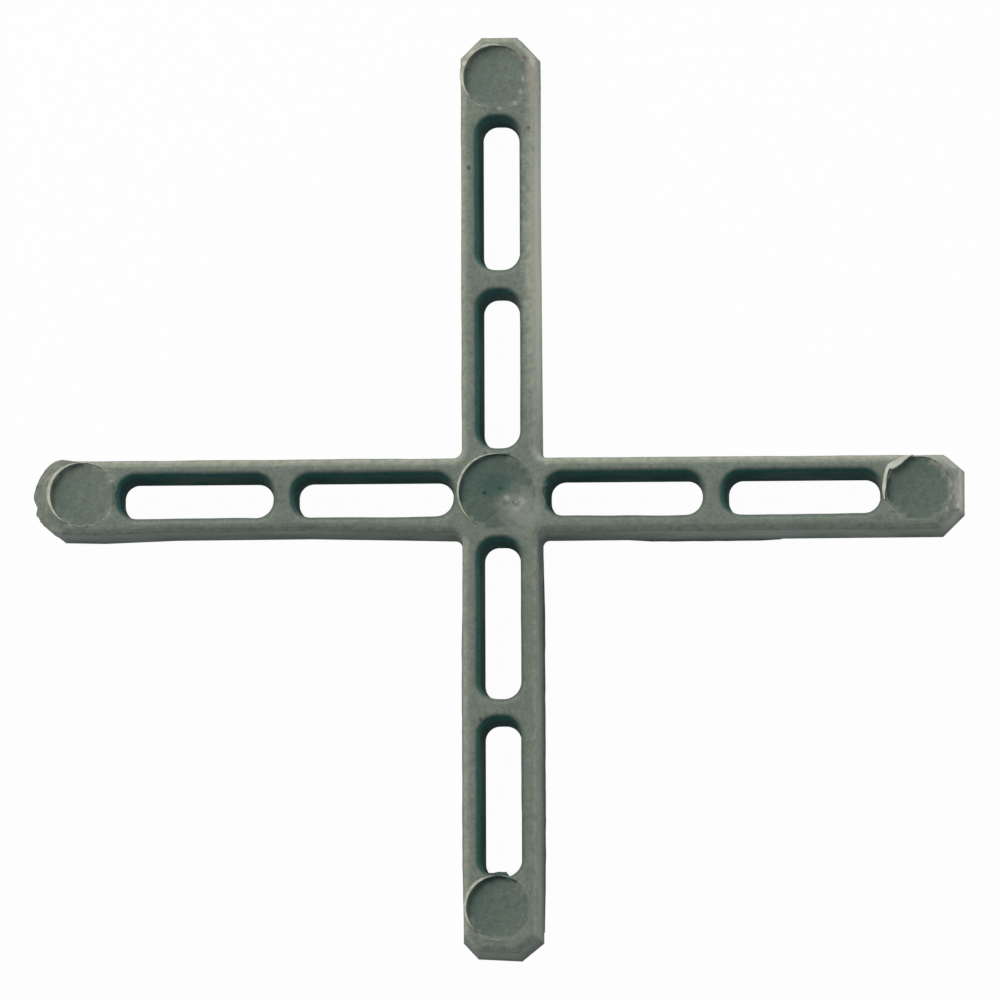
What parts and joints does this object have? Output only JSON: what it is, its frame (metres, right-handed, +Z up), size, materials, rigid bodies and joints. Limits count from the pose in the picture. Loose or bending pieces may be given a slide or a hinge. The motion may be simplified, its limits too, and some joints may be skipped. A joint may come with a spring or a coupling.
{
  "type": "tile spacer",
  "caption": "Flat moulded plastic cross with slotted arms and clipped ends, set where tile corners meet to keep the joints between the tiles even.",
  "frame": {"origin": "middle of the cross, on its flat underside", "axes": "+X and +Y along two of the arms, +Z up out of the face with the ejector pin marks; the arm with the chipped end points along -X"},
  "size_m": [0.0584, 0.058, 0.0048],
  "materials": {
    "grey_green_plastic": "matt, finely grained polyolefin as moulded, paler on worn edges and on thin flash, with faint beige stains"
  },
  "bodies": {
    "root": {"cross_spacer": "grey_green_plastic"}
  },
  "joints": []
}
